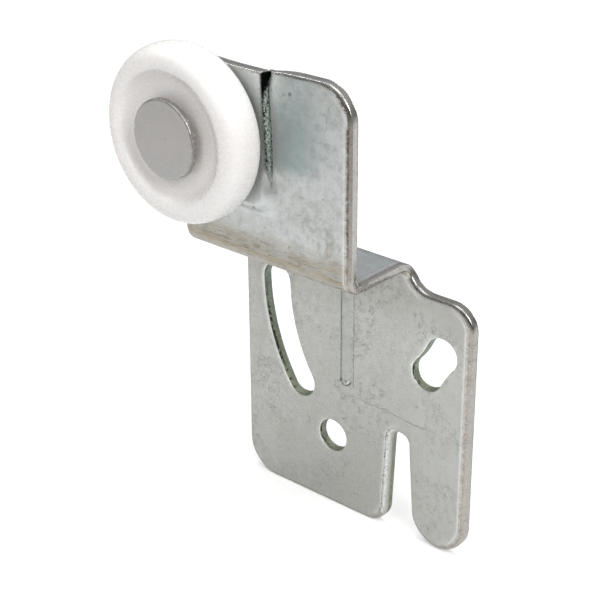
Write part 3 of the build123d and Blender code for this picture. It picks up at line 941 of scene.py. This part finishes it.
def sheet_openings(g, flecks):
    """Painted glints on the mouths of the holes and slots, their green-grey cut walls, partly the cut
    metal's colour and partly painted shade, and a painted glint and dark beads along the burr.
    """
    edge, facing, wall = g.attribute("edge"), g.attribute("facing"), g.attribute("wall")
    opening = g.attribute("opening")
    at_mouth = g.times(facing, opening)
    # painted glint: a bright band on the rolled mouths
    mouth_glint = g.times(at_mouth, g.rest(wall), g.ridges(edge, 0.5, 0.4))
    g.tint((0.86, 0.87, 0.86), mouth_glint, g.band(flecks, 0.38, 0.55, 0.2, 0.85))
    specks = g.band(g.noise(2.4, 2, 0.5), 0.54, 0.60)
    g.tint((0.16, 0.13, 0.08), at_mouth, g.ridges(edge, 0.2, 0.2), specks)
    # the cut walls' dark green is partly the sheared metal's colour and partly painted shade inside the
    # openings
    cut_tone = g.mix(g.band(g.noise(2.6, 4, 0.7), 0.35, 0.65), (0.165, 0.205, 0.165), (0.32, 0.37, 0.31))
    cut_tone = g.mix(g.band(g.z, -34.0, -29.0, 0.35, 0.0), cut_tone, (0.29, 0.30, 0.18))
    cut = g.times(g.band(wall, 0.1, 0.6, 0.0, 0.92), opening)
    g.tint(cut_tone, cut)
    burr = g.times(g.attribute("burr"), g.band(edge, 0.3, 0.8))
    # painted glint: a light band along the burred edge
    g.tint((0.80, 0.81, 0.79), burr, g.falling(wall, 0.1, 0.7), 0.75)
    beads = g.times(g.band(g.noise(1.7, 1, 0.5), 0.46, 0.51), g.band(wall, 0.80, 0.90), burr)
    g.tint((0.012, 0.012, 0.012), beads, g.band(g.z, -33.0, -30.0, 0.9, 0.25))
    return cut


def sheet_tear(g):
    """Rough grey-green metal where the pad was torn out, with a painted highlight along its right rim and
    painted black shade in a wedge from the top.
    """
    across = g.attribute("across")
    torn = g.noise(3.6, 4, 0.75, warp=0.6)
    shreds = g.noise(4.2, 2, 0.6, warp=0.8)
    tone = g.mix(g.band(torn, 0.38, 0.60), (0.20, 0.235, 0.205), (0.66, 0.74, 0.68))
    tone = g.mix(g.band(shreds, 0.58, 0.64, 0.0, 0.8), tone, (0.80, 0.86, 0.82))
    tone = g.mix(g.band(shreds, 0.36, 0.43, 0.85, 0.0), tone, (0.03, 0.035, 0.03))
    # painted highlight: a light strip along the tear's right rim
    tone = g.mix(g.band(across, 0.75, 1.05, 0.0, 0.85), tone, (0.60, 0.645, 0.635))
    # painted shade: the crevice is painted black in a wedge from the top
    ragged = g.math("ADD", across, g.times(torn, 0.6))
    past_wedge = g.math("SUBTRACT", ragged, g.band(g.z, 5.7, 13.2))
    tone = g.mix(g.falling(past_wedge, 0.36, 0.46), tone, (0.006, 0.006, 0.006))
    tear = g.times(g.attribute("tear"), g.falling(g.z, TOP_Z - 0.5, TOP_Z - 0.15))
    g.tint(tone, tear)
    return tear


def zinc_sheet():
    g = Graph("zinc_plated_sheet")
    mottle = g.noise(1.1, 5, 0.66, warp=0.4)
    blotch = g.noise(0.38, 4, 0.6, warp=0.5)
    grain = g.noise(6.0, 3, 0.65)
    flecks = g.noise(2.1, 4, 0.7, vector=g.scaled(g.millimetres, (1, 1, 0.6)))
    lower_front = g.times(g.band(g.y, *LOWER_FRONT[:2]), g.falling(g.y, *LOWER_FRONT[2:]))
    sheet_tone(g, mottle, blotch, grain)
    marks, scratch = sheet_marks(g, lower_front)
    lines = sheet_groove(g, lower_front)
    sheet_stains(g, blotch)
    rim = sheet_rim(g, grain, flecks)
    cut = sheet_openings(g, flecks)
    tear = sheet_tear(g)

    rough = g.math("SUBTRACT", g.band(mottle, 0.3, 0.7, 0.28, 0.46), g.times(rim, 0.12))
    rough = g.math("ADD", rough, g.times(g.most(marks, cut), 0.18))
    rough = g.math("ADD", rough, g.times(tear, 0.3))
    normal = g.bump(grain, 0.008, g.bump(mottle, 0.02))
    dents = g.most(marks, lines, g.times(scratch, 0.12))
    normal = g.bump(g.times(dents, -1.0), 0.03, normal)
    return g.finish(Metallic=1.0, Roughness=rough, Normal=normal)


# ---- rivet, bearing and tyre -----------------------------------------
def zinc_rivet():
    g = Graph("zinc_plated_rivet")
    radius = g.reach()
    rings = g.noise(1.0, 2, 0.6, vector=g.times(radius, 5.0))
    cloud = g.noise(0.4, 5, 0.66)
    grain = g.noise(4.0, 3, 0.6)
    warm = g.band(g.noise(0.16, 2, 0.5), 0.42, 0.58)
    g.colour = g.mix(g.band(cloud, 0.38, 0.62), (0.43, 0.435, 0.425), (0.52, 0.505, 0.485))
    g.tint((0.53, 0.475, 0.45), warm, 0.4)
    g.tint((0.42, 0.415, 0.40), g.band(grain, 0.42, 0.66, 0.0, 0.45))
    g.tint((0.22, 0.20, 0.18), g.pits(0.8, (0.05, 0.13), (0.55, 0.65)), 0.55)
    # painted shade: the head's rounded rim is painted darker, to hold down its highlight
    g.tint((0.27, 0.255, 0.24), g.band(radius, 5.35, 5.6), 0.6)
    # painted glints: light flecks on the head's rim
    g.tint((0.88, 0.89, 0.9), g.band(radius, 5.2, 5.5), g.band(grain, 0.58, 0.66))
    normal = g.bump(g.math("ADD", g.times(rings, 0.4), grain), 0.008, g.bump(cloud, 0.04))
    return g.finish(Metallic=1.0, Roughness=g.band(cloud, 0.3, 0.7, 0.34, 0.5), Normal=normal)


def bearing_steel(name, light, dark, low_rough, high_rough):
    g = Graph(name)
    turned = g.noise(1.0, 2, 0.7, vector=g.times(g.reach(), 9.0))
    cloud = g.noise(0.6, 4, 0.6)
    g.colour = g.mix(g.band(cloud, 0.35, 0.65), light, dark)
    rough = g.band(g.times(g.math("ADD", cloud, turned), 0.5), 0.35, 0.65, low_rough, high_rough)
    return g.finish(Metallic=1.0, Roughness=rough, Normal=g.bump(turned, 0.004))


def white_nylon():
    """Warm white plastic, with painted shade that makes the dish a little darker and warmer, most of all
    close to the head.
    """
    g = Graph("white_nylon")
    radius = g.reach()
    flow = g.noise(1.0, 3, 0.5, vector=g.times(radius, 2.2))
    cloud = g.noise(0.14, 3, 0.5)
    fine = g.noise(2.4, 3, 0.5)
    g.colour = g.mix(g.band(cloud, 0.35, 0.65), (0.90, 0.885, 0.87), (0.875, 0.85, 0.83))
    g.tint((0.83, 0.81, 0.795), g.band(fine, 0.5, 0.75, 0.0, 0.06))
    # painted shade: the dish is painted darker and warmer
    dish_shade = g.times(g.band(radius, 6.0, 7.2), g.falling(radius, 8.8, 9.5))
    g.tint((0.74, 0.67, 0.63), dish_shade, 0.3)
    # painted shade: occlusion darkens sheltered places by the head and the dish's wall
    hollow = g.node("AmbientOcclusion", Distance=2.2 * MM)
    hollow.samples = 8
    sheltered_shade = g.times(g.falling(hollow.outputs["AO"], 0.35, 0.95), g.falling(radius, 9.4, 9.9))
    g.tint((0.62, 0.545, 0.50), sheltered_shade, 0.42)
    scuff = g.times(g.band(g.streaks((0.5, 6.0, 0.5), 3, 0.6), 0.6, 0.72), g.band(radius, 11.6, 12.5))
    g.tint((0.66, 0.64, 0.62), scuff, 0.15)
    normal = g.bump(g.math("ADD", fine, g.times(flow, 0.8)), 0.001, g.bump(cloud, 0.03))
    return g.finish(
        Roughness=g.band(fine, 0.35, 0.7, 0.24, 0.34),
        Normal=normal,
        Subsurface_Weight=0.1,
        Subsurface_Scale=0.8 * MM,
        Subsurface_Radius=(1.0, 0.75, 0.6),
        IOR=1.53,
    )


# ==== Pieces ==========================================================
steel = bearing_steel("bearing_steel", (0.56, 0.57, 0.58), (0.47, 0.475, 0.48), 0.24, 0.36)
ball_steel = bearing_steel("bearing_balls", (0.74, 0.75, 0.76), (0.66, 0.67, 0.68), 0.08, 0.16)
for name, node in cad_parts.items():
    node.data.materials.clear()
    node.data.materials.append(ball_steel if name.startswith("ball_") else steel)

for piece, node, body, slot, material in (
    (bracket_piece(), "bracket", "frame", "zinc_plated_sheet", zinc_sheet()),
    (rivet_piece(), "axle_rivet", "frame", "zinc_plated_rivet", zinc_rivet()),
    (tyre_piece(), "wheel_tyre", "wheel", "white_nylon", white_nylon()),
):
    piece.data.materials.append(material)
    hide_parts(node)
    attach(piece, body)


# ==== Stage, light and camera =========================================
LIT_POINT = Vector((0.01, 0.0, -0.02))


def pale_floor():
    """A large pale sheet just under the bracket, with painted shade on the side that faces the camera,
    seen only in reflections and bounce light.
    """
    half = 3.0
    z = cad_box[0].z
    mesh = bpy.data.meshes.new("floor")
    corners = [(-half, -half, z), (half, -half, z), (half, half, z), (-half, half, z)]
    mesh.from_pydata(corners, [], [(0, 1, 2, 3)])
    floor = bpy.data.objects.new("floor", mesh)
    bpy.context.scene.collection.objects.link(floor)
    g = Graph("floor_paper")
    tone = g.noise(0.02, 3, 0.5)
    g.colour = g.mix(g.band(tone, 0.3, 0.7), (0.93, 0.93, 0.93), (0.90, 0.90, 0.90))
    towards = g.math("ADD", g.times(g.x, 0.66), g.times(g.y, -0.75))
    seen = g.node("LightPath").outputs["Is Camera Ray"]
    # painted shade for reflections only: a dark patch toward the camera, which camera rays don't see
    g.tint((0.16, 0.155, 0.15), g.band(towards, 40.0, 190.0, 0.0, 0.8), g.rest(seen))
    away = g.operate("VectorMath", "DISTANCE", g.millimetres, (0.0, 0.0, 0.0))
    glow = g.times(seen, g.band(away, 200.0, 1500.0, 0.22, 0.7))
    paper = g.finish(
        Roughness=0.9,
        Specular_IOR_Level=0.1,
        Emission_Color=(1, 1, 1, 1),
        Emission_Strength=glow,
    )
    floor.data.materials.append(paper)


def soft_light(name, position, size, power):
    """A round area light that points at the middle of the part."""
    data = bpy.data.lights.new(name, "AREA")
    data.shape = "DISK"
    data.size = size
    data.energy = power
    lamp = bpy.data.objects.new(name, data)
    lamp.location = position
    lamp.rotation_mode = "QUATERNION"
    lamp.rotation_quaternion = (LIT_POINT - Vector(position)).to_track_quat("-Z", "Y")
    bpy.context.scene.collection.objects.link(lamp)


class Sky(Graph):
    """The world's node tree, where a direction takes the place of a point on an object."""

    def __init__(self, name):
        world = bpy.data.worlds.new(name)
        bpy.context.scene.world = world
        world.use_nodes = True
        self.tree = world.node_tree
        self.tree.nodes.clear()
        self.direction = self.node("TexCoord").outputs["Generated"]


def studio_world():
    """White for the camera; for the object dimmer low down, with a dark patch low in front of it."""
    g = Sky("studio")
    height = g.node("SeparateXYZ", Vector=g.direction).outputs["Z"]
    ramp = g.node("ValToRGB", Fac=height)
    ramp.color_ramp.elements[0].color = (0.30, 0.29, 0.28, 1)
    ramp.color_ramp.elements[1].color = (1.0, 1.0, 1.0, 1)
    ramp.color_ramp.elements[1].position = 0.5
    towards = g.operate("VectorMath", "DOT_PRODUCT", g.direction, (0.65, -0.75, 0.12))
    patch = g.times(g.band(towards, 0.45, 0.92), g.falling(height, 0.2, 0.45))
    felt = g.mix(patch, ramp.outputs["Color"], (0.09, 0.08, 0.07))
    shader = g.node("MixShader", Fac=g.node("LightPath").outputs["Is Camera Ray"])
    g.link(g.node("Background", Color=felt, Strength=0.555).outputs[0], shader.inputs[1])
    g.link(g.node("Background", Color=(1.0, 1.0, 1.0, 1.0)).outputs[0], shader.inputs[2])
    g.node("OutputWorld", Surface=shader.outputs[0])


def photo_camera():
    azimuth, elevation, roll = radians(41.325), radians(25.537), radians(-0.481)
    distance = 206.35
    aim = Vector((17.74, 2.85, -20.05))
    back = Vector((sin(azimuth) * cos(elevation), -cos(azimuth) * cos(elevation), sin(elevation)))
    level = Vector((cos(azimuth), sin(azimuth), 0.0))
    rise = Vector((-sin(azimuth) * sin(elevation), cos(azimuth) * sin(elevation), cos(elevation)))
    right = level * cos(roll) + rise * sin(roll)
    up = rise * cos(roll) - level * sin(roll)
    data = bpy.data.cameras.new("camera")
    data.lens = 92.43
    data.sensor_width = 36.0
    data.shift_x = -0.0012
    data.clip_start = 0.01
    data.clip_end = 20.0
    camera = bpy.data.objects.new("camera", data)
    placed = Matrix((right, up, back)).transposed().to_4x4()
    placed.translation = (aim + back * distance) * MM
    camera.matrix_world = placed
    bpy.context.scene.collection.objects.link(camera)
    bpy.context.scene.camera = camera


pale_floor()
studio_world()
soft_light("overhead", (0.05, 0.05, 0.55), 0.45, 1.4)
soft_light("right_front", (0.42, -0.16, 0.30), 0.30, 1.65)
soft_light("front_high", (0.02, -0.30, 0.33), 0.11, 0.22)
soft_light("left_high", (-0.27, -0.20, 0.31), 0.08, 0.17)
photo_camera()
bpy.context.scene.view_settings.view_transform = "Standard"
